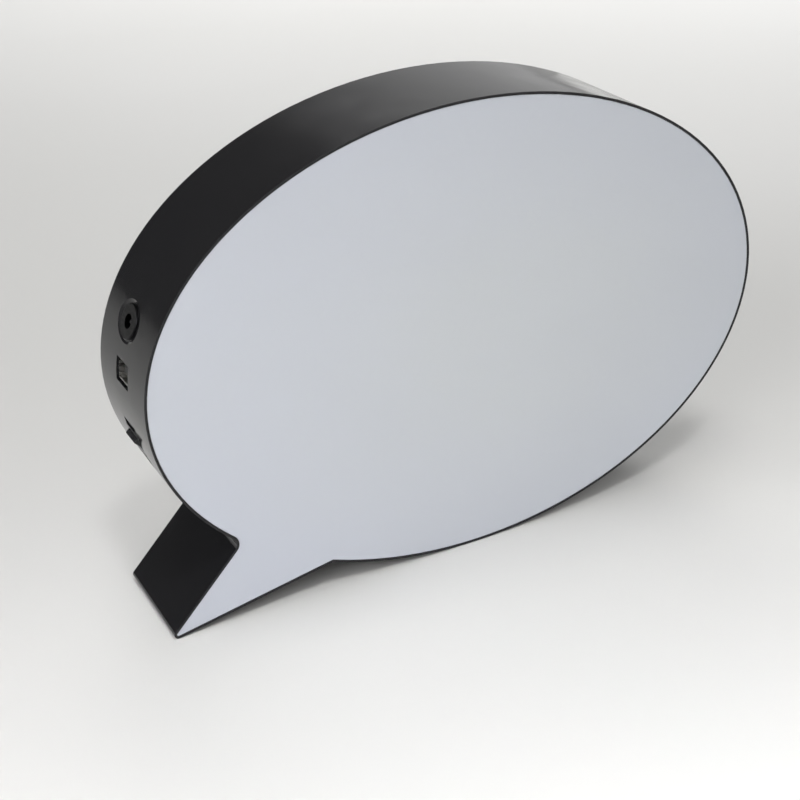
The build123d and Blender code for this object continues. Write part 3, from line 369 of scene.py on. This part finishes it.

# %% [markdown]
# Every CAD solid now gets its finish. Its material slot names the finish, and the mesh isn't touched. Two pieces
# of the jack leave that rule: its nickel pin gets the dark metal, a painted shade for the dark bottom of the bore,
# and its body is blackened like the wall.

# %% Dress the CAD solids
for name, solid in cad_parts.items():
    for holder in solid.material_slots:
        base = holder.material.name.split(".")[0]
        holder.material = finishes[base]
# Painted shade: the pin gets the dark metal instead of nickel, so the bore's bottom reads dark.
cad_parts["jack_pin"].material_slots[0].material = finishes["metal_dark"]
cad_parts["jack_body"].material_slots[0].material = finishes["jack_black"]
print("dressed", len(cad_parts))

# %% [markdown]
# Moulded edges are never knife sharp. On the battery door each one is rounded a little, and that round catches a
# thin line of light. The CAD solid has sharp edges, so it is copied, the copy's loose triangles are merged and
# joined into larger faces, and a narrow bevel goes round every sharp edge. The normals that came with the
# triangles no longer fit, so they are cleared first. Smooth shading would let the rounds tint the flat faces next
# to them, so a Weighted Normal modifier gives the large faces the say. The copy then stands for its solid.

# %% Rounded edges on the battery door
def only(piece):
    bpy.ops.object.select_all(action="DESELECT")
    piece.select_set(True)
    bpy.context.view_layer.objects.active = piece


def rounded_copy(node, body, width, steps=2, sharp=35):
    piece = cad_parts[node].copy()
    piece.data = piece.data.copy()
    piece.name = node + "_rounded"
    bpy.context.scene.collection.objects.link(piece)
    only(piece)
    bpy.ops.mesh.customdata_custom_splitnormals_clear()
    bpy.ops.object.mode_set(mode="EDIT")
    bpy.ops.mesh.select_all(action="SELECT")
    bpy.ops.mesh.remove_doubles(threshold=0.000002)
    bpy.ops.mesh.dissolve_limited(angle_limit=radians(0.5))
    bpy.ops.object.mode_set(mode="OBJECT")
    edge_round = piece.modifiers.new("edge_round", "BEVEL")
    edge_round.width, edge_round.segments, edge_round.angle_limit = width, steps, radians(sharp)
    bpy.ops.object.modifier_apply(modifier=edge_round.name)
    bpy.ops.object.shade_smooth_by_angle(angle=radians(50))
    flat_faces = piece.modifiers.new("flat_faces", "WEIGHTED_NORMAL")
    flat_faces.keep_sharp = True
    bpy.ops.object.modifier_apply(modifier=flat_faces.name)
    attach(piece, body)
    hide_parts(node)
    print(piece.name, len(piece.data.polygons), "faces")
    return piece


rounded_copy("battery_door", "door", 0.0002)

# %% [markdown]
# The strips behind the panel carry small square lamps. A real one is a white housing with a well in its face, and
# the well is filled with yellow phosphor that swells a little. Two soldered ends join it to the strip. In the CAD
# it is a plain block. Each lamp's place is read from that block: the loose triangles are merged, and every island
# of joined corners is one lamp. Sorting the islands gives the same order on every run.

# %% Find the lamps
def islands(node):
    mesh = bmesh.new()
    mesh.from_mesh(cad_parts[node].data)
    bmesh.ops.remove_doubles(mesh, verts=mesh.verts, dist=0.000002)
    left, found = set(mesh.verts), []
    while left:
        waiting, corners = [left.pop()], []
        while waiting:
            corner = waiting.pop()
            corners.append(corner.co.copy())
            for side in corner.link_edges:
                other = side.other_vert(corner)
                if other in left:
                    left.remove(other)
                    waiting.append(other)
        found.append((Vector(min(c[i] for c in corners) for i in range(3)),
                      Vector(max(c[i] for c in corners) for i in range(3))))
    mesh.free()
    return sorted(found, key=lambda box: [round(v, 5) for v in box[0]])


lamp_boxes = islands("led_lamps")
lamp_size = lamp_boxes[0][1] - lamp_boxes[0][0]
lamp_middles = [(low + high) / 2 for low, high in lamp_boxes]
print(len(lamp_boxes), "lamps of", [round(v * 1000, 2) for v in lamp_size], "mm")

# %% [markdown]
# The housing starts as a cube of the lamp's size. In edit mode its front face is inset and pushed in, which leaves
# a rim and a well, and a Bevel modifier rounds the edges. The phosphor starts as a low cylinder in the well, and
# its front face is inset twice and drawn forward each time less, which makes a flat dome. Each is modelled once,
# at the world's middle, and a copy with its own mesh is moved to every lamp. The copies are joined in one piece.

# %% Model one lamp and copy it to every place
def front_face_only(piece):
    bpy.ops.object.mode_set(mode="EDIT")
    bpy.ops.mesh.select_mode(type="FACE")
    bpy.ops.mesh.select_all(action="DESELECT")
    mesh = bmesh.from_edit_mesh(piece.data)
    for face in mesh.faces:
        face.select_set(face.normal.y < -0.99 and face.calc_center_median().y < 0)
    bmesh.update_edit_mesh(piece.data)


def soften(piece, width, steps=2):
    bpy.ops.object.mode_set(mode="OBJECT")
    edge_round = piece.modifiers.new("edge_round", "BEVEL")
    edge_round.width, edge_round.segments = width, steps
    bpy.ops.object.modifier_apply(modifier=edge_round.name)
    bpy.ops.object.shade_smooth_by_angle(angle=radians(35))


def repeat(first, places, name, body, slot):
    copies = []
    for place in places:
        copy = first.copy()
        copy.data = first.data.copy()
        copy.data.transform(Matrix.Translation(place))
        bpy.context.scene.collection.objects.link(copy)
        copies.append(copy)
    bpy.data.objects.remove(first)
    bpy.ops.object.select_all(action="DESELECT")
    for copy in copies:
        copy.select_set(True)
    bpy.context.view_layer.objects.active = copies[0]
    bpy.ops.object.join()
    piece = bpy.context.object
    piece.name = name
    piece.data.materials.append(finishes[slot])
    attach(piece, body)
    print(name, len(copies), "copies", len(piece.data.polygons), "faces")
    return piece


bpy.ops.object.select_all(action="DESELECT")
bpy.ops.mesh.primitive_cube_add(size=1, scale=lamp_size)
housing = bpy.context.object
bpy.ops.object.transform_apply(location=False, rotation=False, scale=True)
front_face_only(housing)
bpy.ops.mesh.inset(thickness=0.00045)
bpy.ops.transform.translate(value=(0, 0.0003, 0))
soften(housing, 0.00006)
lamp_housings = repeat(housing, lamp_middles, "lamp_housings", "case", "strip_white")
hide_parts("led_lamps")

# %% Phosphor in the wells
bpy.ops.object.select_all(action="DESELECT")
bpy.ops.mesh.primitive_cylinder_add(vertices=24, radius=lamp_size.z / 2 - 0.0005, depth=0.00015,
                                    rotation=(radians(90), 0, 0))
phosphor = bpy.context.object
bpy.ops.object.transform_apply(location=False, rotation=True, scale=False)
front_face_only(phosphor)
for width, rise in ((0.0002, 0.00006), (0.0003, 0.00003)):
    bpy.ops.mesh.inset(thickness=width)
    bpy.ops.transform.translate(value=(0, -rise, 0))
soften(phosphor, 0.00002, 1)
lamp_domes = repeat(phosphor, [middle + Vector((0, -lamp_size.y / 2 + 0.00023, 0)) for middle in lamp_middles],
                    "lamp_domes", "case", "lamp_yellow")
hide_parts("led_lamps")

# %% [markdown]
# Solder climbs a lamp's two ends as a small wedge. A cube is flattened at its outer end, in edit mode, by moving
# the outer front edge back onto the strip, and a bevel rounds it.

# %% Solder at the lamps' ends
solder_length, solder_height = 0.0007, 0.00035
for side, end in ((-1, "left"), (1, "right")):
    bpy.ops.object.select_all(action="DESELECT")
    bpy.ops.mesh.primitive_cube_add(size=1, scale=(solder_length, solder_height, lamp_size.z * 0.7))
    wedge = bpy.context.object
    bpy.ops.object.transform_apply(location=False, rotation=False, scale=True)
    bpy.ops.object.mode_set(mode="EDIT")
    bpy.ops.mesh.select_all(action="DESELECT")
    mesh = bmesh.from_edit_mesh(wedge.data)
    for corner in mesh.verts:
        corner.select_set(corner.co.y < 0 and corner.co.x * side > 0)
    bmesh.update_edit_mesh(wedge.data)
    bpy.ops.transform.translate(value=(0, solder_height * 0.75, 0))
    soften(wedge, 0.00005)
    shift = Vector((side * (lamp_size.x + solder_length) / 2, (lamp_size.y - solder_height) / 2, 0))
    repeat(wedge, [middle + shift for middle in lamp_middles], f"lamp_solder_{end}", "case", "metal_nickel")
